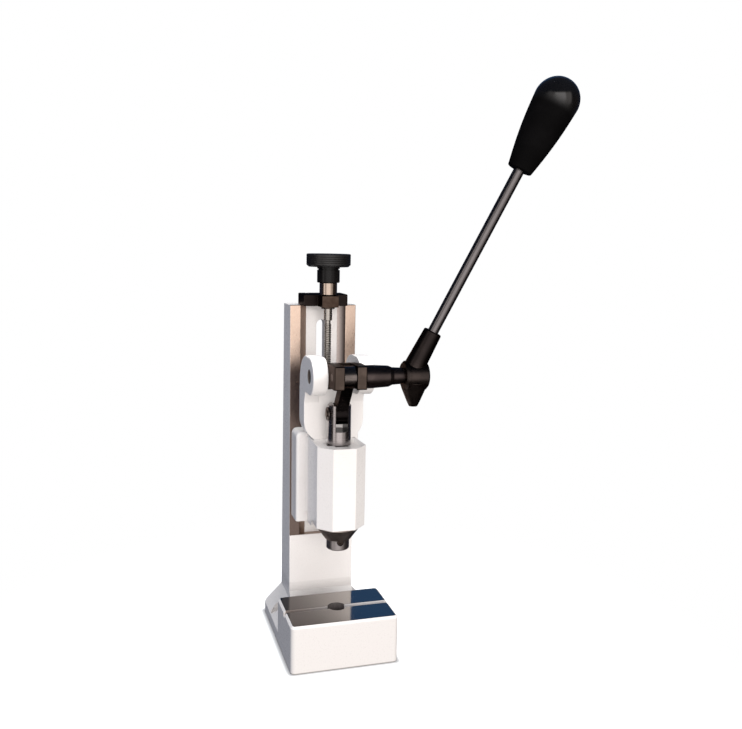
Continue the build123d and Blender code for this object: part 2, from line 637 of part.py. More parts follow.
def hub_set_screw():
    screw = Rot(180, 0, 0) * set_screw(TAIL_SCREW_R, TAIL_SCREW_LENGTH, SET_SCREW_KEY)
    return Pos(TAIL_X, CRANK_Y, TAIL_TIP_Z + TAIL_SCREW_SINK) * screw


def lever_rod():
    rod = chamfer(z_cylinder(ROD_R, ROD_START, ROD_END).edges(), SMALL_EDGE)
    return lever_frame().location * rod


def lever_grip():
    dome_base = GRIP_LENGTH - GRIP_R
    low_end = (GRIP_LOW_R, GRIP_LOW_EDGE)
    middle = (GRIP_FLANK_R, dome_base * GRIP_FLANK_SHARE)
    flank = ThreePointArc(low_end, middle, (GRIP_R, dome_base))
    dome = RadiusArc((GRIP_R, dome_base), (0, GRIP_LENGTH), -GRIP_R)
    rest = Polyline((0, GRIP_LENGTH), (0, 0), (GRIP_LOW_R - GRIP_LOW_EDGE, 0), low_end)
    outline = make_face(Plane.XZ * (flank + dome + rest))
    grip = revolve(outline, Axis.Z) - z_cylinder(ROD_R, -EPS, ROD_END - GRIP_START)
    return lever_frame().location * (Pos(0, 0, GRIP_START) * grip)


def toggle_link():
    """The link hangs along Z from its upper eye, and is then swung to its rest angle."""
    half, reach = LINK_HALF, LINK_HALF + EPS
    link = x_cylinder(LINK_EYE_R, -half, half, 0, 0)
    link += x_cylinder(LINK_EYE_R, -half, half, 0, -LINK_LENGTH)
    link += box(-half, half, -LINK_WEB_HALF, LINK_WEB_HALF, -LINK_LENGTH, 0)
    link -= x_cylinder(CRANK_PIN_R + RUNNING, -reach, reach, 0, 0)
    # the lower eye is an open pivot: an oval hole, longer across the link
    oval = Plane.YZ * SlotOverall(2 * OPEN_EYE_ACROSS, 2 * OPEN_EYE_ALONG)
    link -= Pos(0, 0, -LINK_LENGTH) * extrude(oval, reach, both=True)
    return Pos(0, CRANK_Y, CRANK_Z) * Rot(LINK_ANGLE, 0, 0) * link


# ---- ram ---------------------------------------------------------------------------------
def ram():
    bar = chamfer(z_cylinder(RAM_R, RAM_BOTTOM, RAM_TOP).edges(), RAM_CHAMFER)
    bar += z_cylinder(COLLAR_R, COLLAR_BOTTOM, COLLAR_TOP)
    reach = RAM_R + EPS
    bar -= box(-RAM_SLOT_HALF, RAM_SLOT_HALF, -reach, reach, RAM_SLOT_BOTTOM, RAM_TOP + EPS)
    bar -= x_cylinder(RAM_PIN_R, -reach, reach, 0, RAM_PIN_Z)
    bar -= z_cylinder(TOOL_BORE_R, RAM_BOTTOM - EPS, RAM_BOTTOM + TOOL_BORE_DEPTH)
    return bar - y_cylinder(SET_SCREW_R, -reach, 0, 0, SET_SCREW_Z)


def ram_pin():
    """The pin's right end is flush with the ram, and its left end is grooved for the clip."""
    left = -RAM_R - CLIP_GAP - 2 * CLIP_THICKNESS
    right = sqrt(RAM_R ** 2 - RAM_PIN_R ** 2)
    pin = x_cylinder(RAM_PIN_R, left, right, 0, RAM_PIN_Z)
    groove = x_cylinder(RAM_PIN_R + EPS, *clip_place(), 0, RAM_PIN_Z)
    return pin - (groove - x_cylinder(RAM_PIN_GROOVE_R, left - EPS, right, 0, RAM_PIN_Z))


def clip_place():
    """The clip's two faces along X."""
    right = -RAM_R - CLIP_GAP
    return right - CLIP_THICKNESS, right


def ram_pin_clip():
    """An open spring clip with three prongs that reach into the pin's groove."""
    clip = Circle(CLIP_R) - Circle(CLIP_WEB_R)
    prong = Pos(0, (CLIP_R + RAM_PIN_GROOVE_R) / 2) * Rectangle(
        2 * CLIP_PRONG_HALF, CLIP_R - RAM_PIN_GROOVE_R
    )
    for turn in (-90, 0, 90):
        clip += Rot(0, 0, turn) * prong
    clip &= Circle(CLIP_R)
    clip -= Circle(RAM_PIN_GROOVE_R)
    clip -= Pos(0, -CLIP_R) * Rectangle(2 * CLIP_MOUTH_HALF, 2 * CLIP_WEB_R)
    left, right = clip_place()
    plate = extrude(Plane.YZ * clip, right - left, dir=(1, 0, 0))
    return Pos(left, 0, RAM_PIN_Z) * plate


def ram_set_screw():
    screw = Rot(90, 0, 0) * set_screw(SET_SCREW_R, SET_SCREW_LENGTH, SET_SCREW_KEY)
    return Pos(0, -RAM_R + SET_SCREW_SINK, SET_SCREW_Z) * screw


# ---- write one file per node -------------------------------------------------------------
NODES = [
    frame_casting, spindle_bracket, bracket_screws,
    height_spindle, spindle_clip, steel_collar, spindle_knob,
    head_casting, spindle_nut, clamp_plate, clamp_washers, clamp_screws,
    upper_ram_bush, lower_ram_bush, return_spring,
    pivot_shaft, crank_fork, crank_pin, lever_arbor, lever_hub, hub_set_screw,
    lever_rod, lever_grip, toggle_link,
    ram, ram_pin, ram_pin_clip, ram_set_screw,
]

os.makedirs("parts", exist_ok=True)
for make in NODES:
    shape = make()
    node = Compound(children=shape) if isinstance(shape, list) else shape
    export_step(node, f"parts/{make.__name__}.step")
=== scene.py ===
from math import cos, pi, radians, sin, tan

import bpy
from mathutils import Matrix, Vector


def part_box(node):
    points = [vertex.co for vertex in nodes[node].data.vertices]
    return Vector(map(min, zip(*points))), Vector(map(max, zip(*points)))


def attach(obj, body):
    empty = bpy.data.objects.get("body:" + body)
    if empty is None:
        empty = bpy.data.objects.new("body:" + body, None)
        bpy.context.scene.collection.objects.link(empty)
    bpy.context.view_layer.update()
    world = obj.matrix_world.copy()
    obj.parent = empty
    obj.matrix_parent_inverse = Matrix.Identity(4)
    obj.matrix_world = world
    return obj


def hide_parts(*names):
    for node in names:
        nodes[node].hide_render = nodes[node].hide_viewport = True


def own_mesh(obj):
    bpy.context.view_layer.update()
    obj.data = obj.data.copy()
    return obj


# The looks of a small bench tablet press. Everything is in metres, in the frame of the packed
# model: X to the operator's right, Y away from the operator, Z up along the ram.

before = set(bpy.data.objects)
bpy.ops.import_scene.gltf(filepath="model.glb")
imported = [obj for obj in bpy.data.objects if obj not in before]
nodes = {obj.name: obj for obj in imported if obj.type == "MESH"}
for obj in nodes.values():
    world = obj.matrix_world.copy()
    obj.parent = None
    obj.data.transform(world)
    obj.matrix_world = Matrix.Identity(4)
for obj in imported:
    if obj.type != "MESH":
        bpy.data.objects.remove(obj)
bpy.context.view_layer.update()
MM = 0.001


# ---- node expressions ----------------------------------------------------------------------
class Field:
    """A number that varies over a surface, so that a mask reads as a sum in a script."""

    def __init__(self, tree, socket):
        self.tree = tree
        self.socket = socket

    def math(self, operation, *others):
        node = self.tree.nodes.new("ShaderNodeMath")
        node.operation = operation
        for slot, value in enumerate((self, *others)):
            plug(self.tree, value, node.inputs[slot])
        return Field(self.tree, node.outputs[0])

    def __add__(self, other):
        return self.math("ADD", other)

    def __sub__(self, other):
        return self.math("SUBTRACT", other)

    def __mul__(self, other):
        return self.math("MULTIPLY", other)

    def __abs__(self):
        return self.math("ABSOLUTE")

    def power(self, exponent):
        return self.math("POWER", exponent)

    def above(self, level, soft=0.02 * MM):
        """1 where the value is over level, 0 under it, with a soft step."""
        return self.ramp(level - soft, level + soft)

    def below(self, level, soft=0.02 * MM):
        return self.ramp(level + soft, level - soft)

    def within(self, low, high, soft=0.02 * MM):
        return self.above(low, soft) * self.below(high, soft)

    def ramp(self, zero_at, one_at, low=0.0, high=1.0):
        """Goes from low to high, smoothly, while the value goes from zero_at to one_at."""
        node = self.tree.nodes.new("ShaderNodeMapRange")
        node.interpolation_type = "SMOOTHSTEP"
        values = (self, zero_at, one_at, low, high)
        for slot, value in enumerate(values):
            plug(self.tree, value, node.inputs[slot])
        return Field(self.tree, node.outputs[0])

    def either(self, other):
        return self.math("MAXIMUM", other)

    def between(self, low, high, soft):
        """1 between two levels, with soft steps outside them."""
        return self.ramp(low - soft, low + soft) * self.ramp(high + soft, high - soft)


def plug(tree, value, socket):
    """Links a field to a socket, or sets the socket to a constant."""
    if isinstance(value, Field):
        tree.links.new(value.socket, socket)
    else:
        socket.default_value = value


class Shading:
    """A node tree, with short words for the fields and colours in it."""

    def __init__(self, tree, coordinates):
        self.tree = tree
        self.place = tree.nodes.new("ShaderNodeTexCoord").outputs[coordinates]

    def axes(self):
        split = self.tree.nodes.new("ShaderNodeSeparateXYZ")
        self.tree.links.new(self.place, split.inputs[0])
        return [Field(self.tree, socket) for socket in split.outputs]

    def normal(self):
        """The true surface normal's three parts, in the object's own frame."""
        geometry = self.tree.nodes.new("ShaderNodeNewGeometry")
        turn = self.tree.nodes.new("ShaderNodeVectorTransform")
        turn.vector_type = "NORMAL"
        turn.convert_from, turn.convert_to = "WORLD", "OBJECT"
        self.tree.links.new(geometry.outputs["True Normal"], turn.inputs[0])
        split = self.tree.nodes.new("ShaderNodeSeparateXYZ")
        self.tree.links.new(turn.outputs[0], split.inputs[0])
        return [Field(self.tree, socket) for socket in split.outputs]

    def vector(self, operation, first, second):
        node = self.tree.nodes.new("ShaderNodeVectorMath")
        node.operation = operation
        for slot, value in enumerate((first, second)):
            if isinstance(value, Vector):
                node.inputs[slot].default_value = value
            else:
                self.tree.links.new(value, node.inputs[slot])
        return node

    def reach(self, axis):
        """How far a point is along an axis, from the origin."""
        return Field(self.tree, self.vector("DOT_PRODUCT", self.place, axis).outputs["Value"])

    def streaks(self, axis, along, across):
        """Noise with its own grain along an axis and across it, in cycles per metre."""
        unit = Vector(axis).normalized()
        wide = self.tree.nodes.new("ShaderNodeVectorMath")
        wide.operation = "SCALE"
        self.tree.links.new(self.place, wide.inputs[0])
        wide.inputs["Scale"].default_value = across
        long = self.tree.nodes.new("ShaderNodeVectorMath")
        long.operation = "SCALE"
        long.inputs[0].default_value = unit
        plug(self.tree, self.reach(unit) * (along - across), long.inputs["Scale"])
        place = self.vector("ADD", wide.outputs[0], long.outputs[0]).outputs[0]
        return self.noise(1.0, place=place)

    def noise(self, scale, detail=3.0, place=None):
        """Noise from 0 to 1, with scale in cycles per metre."""
        node = self.tree.nodes.new("ShaderNodeTexNoise")
        self.tree.links.new(place or self.place, node.inputs["Vector"])
        node.inputs["Scale"].default_value = scale
        node.inputs["Detail"].default_value = detail
        node.inputs["Roughness"].default_value = 0.55
        return Field(self.tree, node.outputs[0])

    def mix(self, amount, first, second):
        """A colour that goes from first to second."""
        node = self.tree.nodes.new("ShaderNodeMix")
        node.data_type = "RGBA"
        plug(self.tree, amount, node.inputs[0])
        for slot, value in ((6, first), (7, second)):
            if isinstance(value, Field):
                self.tree.links.new(value.socket, node.inputs[slot])
            else:
                node.inputs[slot].default_value = (*value, 1.0)
        return Field(self.tree, node.outputs[2])

    def rounded_normal(self, radius):
        """The normal that the surface would have if its edges were rounded."""
        node = self.tree.nodes.new("ShaderNodeBevel")
        node.samples = 6
        node.inputs["Radius"].default_value = radius
        return node.outputs[0]

    def edges(self, radius):
        """1 on sharp edges and 0 on open faces."""
        flat = self.tree.nodes.new("ShaderNodeNewGeometry").outputs["Normal"]
        rounded = self.rounded_normal(radius)
        same = self.vector("DOT_PRODUCT", rounded, flat).outputs["Value"]
        return Field(self.tree, same).ramp(0.995, 0.86)


class Surface(Shading):
    """A material with one Principled shader."""

    def __init__(self, name, roughness=0.4, metallic=0.0, **constants):
        self.material = bpy.data.materials.new(name)
        self.material.use_nodes = True
        super().__init__(self.material.node_tree, "Object")
        self.shader = self.tree.nodes["Principled BSDF"]
        self.set("Roughness", roughness)
        self.set("Metallic", metallic)
        for socket, value in constants.items():
            self.set(socket.replace("_", " "), value)

    def set(self, socket, value):
        plug(self.tree, value, self.shader.inputs[socket])

    def bump(self, height, distance, strength, round_edges=0.0):
        node = self.tree.nodes.new("ShaderNodeBump")
        plug(self.tree, height, node.inputs["Height"])
        node.inputs["Strength"].default_value = strength
        node.inputs["Distance"].default_value = distance
        if round_edges:
            self.tree.links.new(self.rounded_normal(round_edges), node.inputs["Normal"])
        self.tree.links.new(node.outputs[0], self.shader.inputs["Normal"])


# ---- materials -----------------------------------------------------------------------------
UPRIGHT, ACROSS, MILLED = (0, 0, 1), (1, 0, 0), (0.05, 1, 0.3)   # which way tool marks run

ENAMEL = (0.82, 0.79, 0.77)
ENAMEL_DEEP = (0.765, 0.728, 0.705)
ENAMEL_DULL = (0.72, 0.69, 0.67)    # on the base, which hands and tablets rub
ENAMEL_CHIPPED = (0.45, 0.42, 0.40)
# the tone of a painted shade line along the base's foot
FOOT_SHADE = (0.20, 0.18, 0.165)
OXIDE = (0.055, 0.043, 0.037)
OXIDE_THIN = (0.105, 0.080, 0.066)
OXIDE_WORN = (0.30, 0.24, 0.20)
# the blackest oxide tone, used for painted shade
OXIDE_SHADE = (0.016, 0.013, 0.013)
OXIDE_RIM = (0.55, 0.50, 0.48, 1.0)     # how much of the light it keeps at a grazing angle


def casting_finish(name, bare, bare_colour, bare_gloss, bare_metallic):
    """White enamel over cast iron. bare(surface) says where the metal is machined bare."""
    surface = Surface(name, Specular_IOR_Level=0.5, Coat_Weight=0.25, Coat_Roughness=0.10)
    z = surface.axes()[2]
    mask = bare(surface)
    cloud = surface.noise(28, 4.0)
    edge = surface.edges(0.5 * MM) * surface.noise(500, 3.0).ramp(0.55, 0.75)
    paint = surface.mix(cloud.ramp(0.35, 0.75) * 0.35, ENAMEL, ENAMEL_DEEP)
    paint = surface.mix(z.below(TABLE_TOP, MM), paint, ENAMEL_DULL)
    paint = surface.mix(edge * 0.35, paint, ENAMEL_CHIPPED)
    # painted shade: a darker line along the base's foot, where it meets the floor
    paint = surface.mix(z.ramp(FOOT_SHADE_TOP, 0.0), paint, FOOT_SHADE)
    grain = surface.streaks(UPRIGHT, 300, 2600)
    surface.set("Base Color", surface.mix(mask, paint, bare_colour(surface, grain)))
    surface.set("Metallic", mask * bare_metallic(surface))
    rough_paint = surface.noise(900, 2.0).ramp(0.3, 0.7, 0.26, 0.38)
    rough_metal = grain.ramp(0.3, 0.7, -0.03, 0.05) + bare_gloss(surface)
    surface.set("Roughness", rough_paint + mask * (rough_metal - rough_paint))
    orange_peel = surface.noise(420, 2.0) * 0.5 + surface.noise(90, 2.0)
    height = orange_peel + mask * (grain * 0.15 - orange_peel)
    surface.bump(height, 0.035 * MM, 0.5, round_edges=0.7 * MM)
    return surface.material


def black_oxide(name, axis, roughness=0.30, base=OXIDE, thin=OXIDE_THIN, painted_shade=None):
    """Black oxide on turned or milled steel, thinner in patches and worn on the edges.

    Where the shade function is given and is 1, the colour goes to its blackest there: painted
    shade."""
    surface = Surface(name, metallic=1.0, Specular_Tint=OXIDE_RIM)
    lines = surface.streaks(axis, 3200, 40)
    cloud = surface.noise(90, 4.0)
    edge = surface.edges(0.35 * MM) * surface.noise(600, 3.0).ramp(0.40, 0.65)
    colour = surface.mix(cloud.ramp(0.40, 0.75), base, thin)
    if painted_shade:
        # painted shade
        colour = surface.mix(painted_shade(surface), colour, OXIDE_SHADE)
    surface.set("Base Color", surface.mix(edge * 0.45, colour, OXIDE_WORN))
    surface.set("Roughness", lines.ramp(0.3, 0.7, roughness - 0.05, roughness + 0.07))
    surface.bump(lines, 0.006 * MM, 0.4, round_edges=0.3 * MM)
    return surface.material


def bright_steel(name, axis, colour, along=3200, across=40, roughness=0.20, tint=0.82,
                 bare=None, dull=None):
    """Bare steel with its tool marks: rings round an axis, or drawn streaks along one.

    Where bare(surface) is given and is 0, the steel is black instead. dull(surface) is what
    it adds to the roughness."""
    surface = Surface(name, metallic=1.0)
    lines = surface.streaks(axis, along, across)
    cloud = surface.noise(40, 3.0)
    shade = tuple(tint * part for part in colour)
    mottled = surface.mix((lines * 0.6 + cloud * 0.4).ramp(0.35, 0.65), shade, colour)
    if bare:
        # painted shade: black where the mask is 0
        mottled = surface.mix(bare(surface), OXIDE_SHADE, mottled)
    surface.set("Base Color", mottled)
    gloss = lines.ramp(0.25, 0.75, roughness - 0.04, roughness + 0.06)
    surface.set("Roughness", gloss + dull(surface) if dull else gloss)
    surface.bump(lines, 0.004 * MM, 0.4, round_edges=0.2 * MM)
    return surface.material


def moulded(name, colour, roughness, grain_depth, shine):
    """Black plastic, with the slightest unevenness. roughness and shine are functions."""
    surface = Surface(name)
    surface.set("Specular IOR Level", shine(surface))
    grain = surface.noise(1100, 3.0)
    cloud = surface.noise(45, 3.0)
    lifted = tuple(1.8 * part for part in colour)
    surface.set("Base Color", surface.mix(cloud.ramp(0.35, 0.75), colour, lifted))
    surface.set("Roughness", grain.ramp(0.3, 0.7, -0.04, 0.04) + roughness(surface))
    surface.bump(grain, grain_depth, 0.3)
    return surface.material


# ---- where the two castings are machined bare ----------------------------------------------
FOOT_SHADE_TOP = 1.4 * MM        # a painted shade line along the base's foot fades out at this height
TABLE_TOP = 42.5 * MM
TABLE_BACK = 32.0 * MM
TABLE_PALE_FROM = 25.0 * MM    # painted reflection and light: the table and its groove go from brown at the left edge to paler up to here
TABLE_EDGE = 45.5 * MM      # where the ground top ends and the painted chamfer starts
GROOVE_FLOOR = 38.0 * MM
GROOVE_HALF = 2.8 * MM
TABLE_BORE_R = 8.0 * MM
RAIL_FACE = 61.6 * MM
CHANNEL_FLOOR = 68.1 * MM
CHANNEL_HALF = 14.5 * MM
CHANNEL_MOUTH = 21.0 * MM
GUIDE_BOTTOM = 89.0 * MM
COLUMN_HALF = 30.5 * MM
RAM_BORE_R = 10.04 * MM
BODY_TOP = 191.0 * MM
PIVOT_Z = 250.0 * MM
PIVOT_BORE_R = 6.05 * MM
RAIL_SHADE_FADE = (243 * MM, 262 * MM)   # the left rail is painted darker under these heights, as shade and dark reflection towards the head, fading out between them
SKIN = 0.08 * MM            # how far a mask reaches past the face that it paints
HEAD_BACK = RAIL_FACE - 0.1 * MM    # the head's sliding faces start here

# painted reflection on the table top, and painted light and shade in its groove, from left to
# right
TABLE_LEFT_REFLECTION = (0.045, 0.034, 0.030)
TABLE_PALE_REFLECTION = (0.38, 0.355, 0.335)
TABLE_STREAK = (0.24, 0.20, 0.185)
GROOVE_SHADED = (0.26, 0.215, 0.195)
GROOVE_LIT = (0.70, 0.68, 0.68)
GROOVE_STREAK = (0.40, 0.37, 0.35)
BORE_SHADE = (0.115, 0.10, 0.098)
RAIL_STEEL = (0.84, 0.63, 0.50)
RAIL_BRIGHT = (0.93, 0.72, 0.58)
RAIL_STAIN = (0.58, 0.46, 0.36)
RAIL_SHADE = (0.17, 0.125, 0.105)
# the guide's sloping walls carry painted reflections: darker brown on the left
LEFT_WALL_REFLECTION = (0.30, 0.21, 0.165)
LEFT_WALL_REFLECTION_STREAK = (0.38, 0.28, 0.22)
RIGHT_WALL_BRIGHT_REFLECTION = (0.80, 0.70, 0.66)     # painted bright reflection at the right wall's inner edge
RIGHT_WALL_DARK_REFLECTION = (0.05, 0.033, 0.028)   # and painted dark reflection at its outer one, at the rail
HEAD_STEEL = (0.16, 0.14, 0.13)
HEAD_BRIGHT = (0.30, 0.27, 0.25)


def round_distance(first, second):
    return (first * first + second * second).power(0.5)


def frame_bare(surface):
    """The table's top, its groove and bore, and the guide's rails and sloping walls."""
    x, y, z = surface.axes()
    top = z.above(TABLE_TOP - SKIN) * y.below(TABLE_BACK)
    groove = abs(y).below(GROOVE_HALF + SKIN) * z.within(GROOVE_FLOOR - SKIN, TABLE_TOP + SKIN)
    groove = groove * abs(x).below(TABLE_EDGE)
    bore = round_distance(x, y).below(TABLE_BORE_R + SKIN) * z.below(TABLE_TOP + SKIN)
    guide = z.above(GUIDE_BOTTOM - SKIN) * abs(x).below(COLUMN_HALF - SKIN)
    guide = guide * y.within(RAIL_FACE - SKIN, CHANNEL_FLOOR - SKIN)
    return top.either(groove).either(bore).either(guide)


def frame_metal(surface, grain):
    """The table's top with its groove and bore, and the ground guide, coloured with painted
    reflection and shade.
    """
    x, y, z = surface.axes()
    shade = grain.ramp(0.3, 0.7)
    # painted reflection and shade: darker on the left, paler towards the right
    light_across = x.ramp(-TABLE_EDGE, TABLE_PALE_FROM)
    top = surface.mix(light_across, TABLE_LEFT_REFLECTION, TABLE_PALE_REFLECTION)
    top = surface.mix(shade * 0.15, top, TABLE_STREAK)
    groove = surface.mix(light_across, GROOVE_SHADED, GROOVE_LIT)
    # painted shade: the bore is coloured darker than the groove
    cut = surface.mix(round_distance(x, y).below(TABLE_BORE_R + SKIN), groove, BORE_SHADE)
    cut = surface.mix(shade * 0.15, cut, GROOVE_STREAK)
    table = surface.mix(z.below(TABLE_TOP - SKIN), top, cut)
    rail = surface.mix(shade, RAIL_STEEL, RAIL_BRIGHT)
    rail = surface.mix(surface.noise(55, 4.0).ramp(0.5, 0.75) * 0.35, rail, RAIL_STAIN)
    # painted shade and dark reflection on the left rail
    shaded_rail = surface.mix(z.ramp(RAIL_SHADE_FADE[1], RAIL_SHADE_FADE[0]), rail, RAIL_SHADE)
    rail = surface.mix(x.below(0.0), rail, shaded_rail)
    # painted reflection on the sloping walls
    left_wall = surface.mix(shade, LEFT_WALL_REFLECTION, LEFT_WALL_REFLECTION_STREAK)
    right_wall = surface.mix(x.ramp(CHANNEL_HALF, CHANNEL_MOUTH), RIGHT_WALL_BRIGHT_REFLECTION, RIGHT_WALL_DARK_REFLECTION)
    wall = surface.mix(x.above(0.0), left_wall, right_wall)
    guide = surface.mix(y.above(RAIL_FACE + SKIN), rail, wall)
    return surface.mix(z.above(GUIDE_BOTTOM - SKIN), table, guide)


def frame_gloss(surface):
    z = surface.axes()[2]
    return z.ramp(TABLE_TOP, GUIDE_BOTTOM, 0.09, 0.30)


def frame_metallic(surface):
    """The groove and the bore are cut rough, so they scatter the light like paint."""
    z = surface.axes()[2]
    return z.ramp(TABLE_TOP - 2 * SKIN, TABLE_TOP - SKIN, 0.15, 1.0)


def head_bare(surface):
    """The ram's bore, the pivot's bores and the sliding faces behind."""
    x, y, z = surface.axes()
    bore = round_distance(x, y).below(RAM_BORE_R + SKIN) * z.below(BODY_TOP + SKIN)
    pivot = round_distance(y, z - PIVOT_Z).below(PIVOT_BORE_R + SKIN)
    return bore.either(pivot).either(y.above(HEAD_BACK - 4 * SKIN))


def head_gloss(surface):
    """Both how rough and how metallic the bores are."""
    y = surface.axes()[1]
    return y.ramp(0.0, RAIL_FACE, 0.45, 0.35)


def head_metal(surface, grain):
    return surface.mix(grain.ramp(0.3, 0.7), HEAD_STEEL, HEAD_BRIGHT)


finishes = {
    "frame_casting": casting_finish("enamel_frame", frame_bare, frame_metal, frame_gloss,
                                    frame_metallic),
    "head_casting": casting_finish("enamel_head", head_bare, head_metal, head_gloss, head_gloss),
}

# ---- finishes of the other nodes -----------------------------------------------------------
LEVER_SPREAD = radians(25.4)        # the lever's lean to the right
LEVER_LEAN = radians(8.0)           # and to the operator
LEVER_AXIS = Vector((tan(LEVER_SPREAD), -tan(LEVER_LEAN), 1)).normalized()
LEVER_FOOT = Vector((53.2, -26.0, 253.0)) * MM
RAM_SLOT_HALF = 5.3 * MM
RAM_SLOT_BOTTOM = 203.0 * MM
RAM_NOSE_TOP = 112.0 * MM
LINK_HIGHLIGHT_FROM = 248.5 * MM    # the link is painted brighter above this height, as a highlight on its upper eye
SOCKET_SHADE_TOP = 266.0 * MM    # the lever socket's painted shade is at its blackest here
BRACKET_PLATE_FRONT = 52.0 * MM
KNOB_NECK_TOP = 340.4 * MM
GRIP_DULL_END = 240 * MM    # how far from the lever's foot the grip starts to shine
GRIP_POLISHED = 251 * MM    # and where it shines fully


def ram_unshaded_outside(surface):
    """1 on the ram's ground outside, 0 on the walls of its slot, which are painted black as
    shade.
    """
    x, y, z = surface.axes()
    slot = abs(x).below(RAM_SLOT_HALF + SKIN) * z.above(RAM_SLOT_BOTTOM - SKIN)
    return slot * -1.0 + 1.0


def ram_nose(surface):
    """The ram's end under the bush is duller."""
    z = surface.axes()[2]
    return z.ramp(RAM_NOSE_TOP, RAM_NOSE_TOP - 4 * MM) * 0.13


def tops_and_left_shade(surface):
    """1 on the faces that point up, and less on those that point left: painted shade, where these
    faces turn from the light.
    """
    x, y, z = surface.normal()
    return z.ramp(0.3, 0.9).either(x.ramp(-0.5, -0.95) * 0.8)


def shaft_end_shade(surface):
    """1 on the faces that point left or right, which are painted blacker as shade."""
    x = surface.normal()[0]
    return abs(x).above(0.9, 0.05)


def link_shank_shade(surface):
    """1 below the link's upper eye, where the link is painted blacker as shade; above it the
    lighter colour is a painted highlight.
    """
    z = surface.axes()[2]
    return z.below(LINK_HIGHLIGHT_FROM, MM)


def socket_shade(surface):
    """Rises up the lever's socket, which is painted blacker than the hub as shade."""
    z = surface.axes()[2]
    return z.ramp(LEVER_FOOT.z, SOCKET_SHADE_TOP) * 0.75


def bracket_plate_and_shade(surface):
    """0.9 on the bracket's plate, which is blacker, and on the faces that point up or left, which
    are painted blacker as shade; 0 on the rest of its tongue.
    """
    y = surface.axes()[1]
    return y.above(BRACKET_PLATE_FRONT - SKIN).either(tops_and_left_shade(surface)) * 0.9


def knob_gloss(surface):
    z = surface.axes()[2]
    return z.ramp(KNOB_NECK_TOP, KNOB_NECK_TOP + MM, 0.24, 0.40)


def knob_shine(surface):
    z = surface.axes()[2]
    return z.ramp(KNOB_NECK_TOP, KNOB_NECK_TOP + MM, 0.22, 0.60)


def polished_end(surface):
    """1 on the grip's end, which the hand has polished, and 0 on its dull flank."""
    foot = LEVER_FOOT.dot(LEVER_AXIS)
    return surface.reach(LEVER_AXIS).ramp(foot + GRIP_DULL_END, foot + GRIP_POLISHED)


def grip_gloss(surface):
    return polished_end(surface) * -0.50 + 0.62


def grip_shine(surface):
    return polished_end(surface) * 0.95 + 0.05


oxide_upright = black_oxide("oxide_turned_upright", UPRIGHT)
oxide_bush = black_oxide("oxide_bush", UPRIGHT, 0.40, (0.40, 0.34, 0.31), (0.50, 0.43, 0.39))
oxide_across = black_oxide("oxide_turned_across", ACROSS, 0.34,
                           (0.10, 0.080, 0.076), (0.14, 0.112, 0.105))
oxide_shaft = black_oxide("oxide_shaft", ACROSS, 0.30, painted_shade=shaft_end_shade)
oxide_pin = black_oxide("oxide_pin", ACROSS, 0.26, (0.14, 0.12, 0.11), (0.19, 0.16, 0.15))
oxide_milled = black_oxide("oxide_milled", MILLED, 0.33,
                           (0.095, 0.072, 0.060), (0.155, 0.118, 0.098), tops_and_left_shade)
oxide_bracket = black_oxide("oxide_bracket", MILLED, 0.33,
                            (0.066, 0.042, 0.032), (0.110, 0.078, 0.060), bracket_plate_and_shade)
oxide_hub = black_oxide("oxide_hub", LEVER_AXIS, 0.33,
                        (0.064, 0.052, 0.048), (0.10, 0.080, 0.072), socket_shade)
# the lighter base colours are a painted highlight on the upper eye; the shank below is painted
# blacker as shade
oxide_link = black_oxide("oxide_link", MILLED, 0.27,
                         (0.18, 0.155, 0.145), (0.25, 0.215, 0.20), link_shank_shade)
collar_steel = bright_steel("turned_bright", UPRIGHT, (0.57, 0.46, 0.38), roughness=0.16)
thread_steel = bright_steel("rolled_thread", UPRIGHT, (0.50, 0.47, 0.43), 1500, 15, 0.28, 0.92)
ram_steel = bright_steel("ground_bright", UPRIGHT, (0.43, 0.395, 0.39), roughness=0.22,
                         bare=ram_unshaded_outside, dull=ram_nose)
rod_steel = bright_steel("drawn_rod", LEVER_AXIS, (0.205, 0.19, 0.19), 25, 2600, 0.24)
spring_wire = bright_steel("spring_wire", UPRIGHT, (0.40, 0.40, 0.41), 300, 900, 0.30)
bronze = bright_steel("turned_bronze", UPRIGHT, (0.60, 0.40, 0.20), 2200, 60, 0.30)
knob_black = moulded("satin_black", (0.005, 0.0045, 0.0045), knob_gloss,
                     0.008 * MM, knob_shine)
grip_black = moulded("gloss_black", (0.0022, 0.0020, 0.0021), grip_gloss,
                     0.003 * MM, grip_shine)

node_groups = (
    (oxide_upright, ("spindle_clip",)),
    (oxide_bush, ("lower_ram_bush",)),
    (oxide_across, ("lever_arbor",)),
    (oxide_shaft, ("pivot_shaft",)),
    (oxide_pin, ("crank_pin", "ram_pin", "ram_pin_clip")),
    (oxide_milled, ("clamp_plate", "crank_fork")),
    (oxide_bracket, ("spindle_bracket",)),
    (oxide_link, ("toggle_link",)),
    (oxide_hub, ("lever_hub",)),
    (collar_steel, ("steel_collar", "clamp_washers")),
    (bronze, ("spindle_nut", "upper_ram_bush")),
    (ram_steel, ("ram",)),
    (rod_steel, ("lever_rod",)),
    (spring_wire, ("return_spring",)),
)
for material, names in node_groups:
    for name in names:
        finishes[name] = material

for name, material in finishes.items():
    mesh = nodes[name].data
    mesh.materials.clear()
    mesh.materials.append(material)


# ---- turned pieces: rings of points round an axis ------------------------------------------
POINT_R = 0.01 * MM         # small enough to close a turned piece's end


def plain(radius):
    """The radius of a round section, at any angle round the axis and height along it."""
    return lambda angle, height: radius


def hexagon(half_flats):
    """The radius of a hexagonal section."""
    side = pi / 3
    return lambda angle, height: half_flats / cos((angle + side / 2) % side - side / 2)


def ribbed(radius, count, depth):
    """The radius of a section with ribs along it, such as a knurl."""
    return lambda angle, height: radius - depth * (0.5 - 0.5 * cos(count * angle)) ** 2


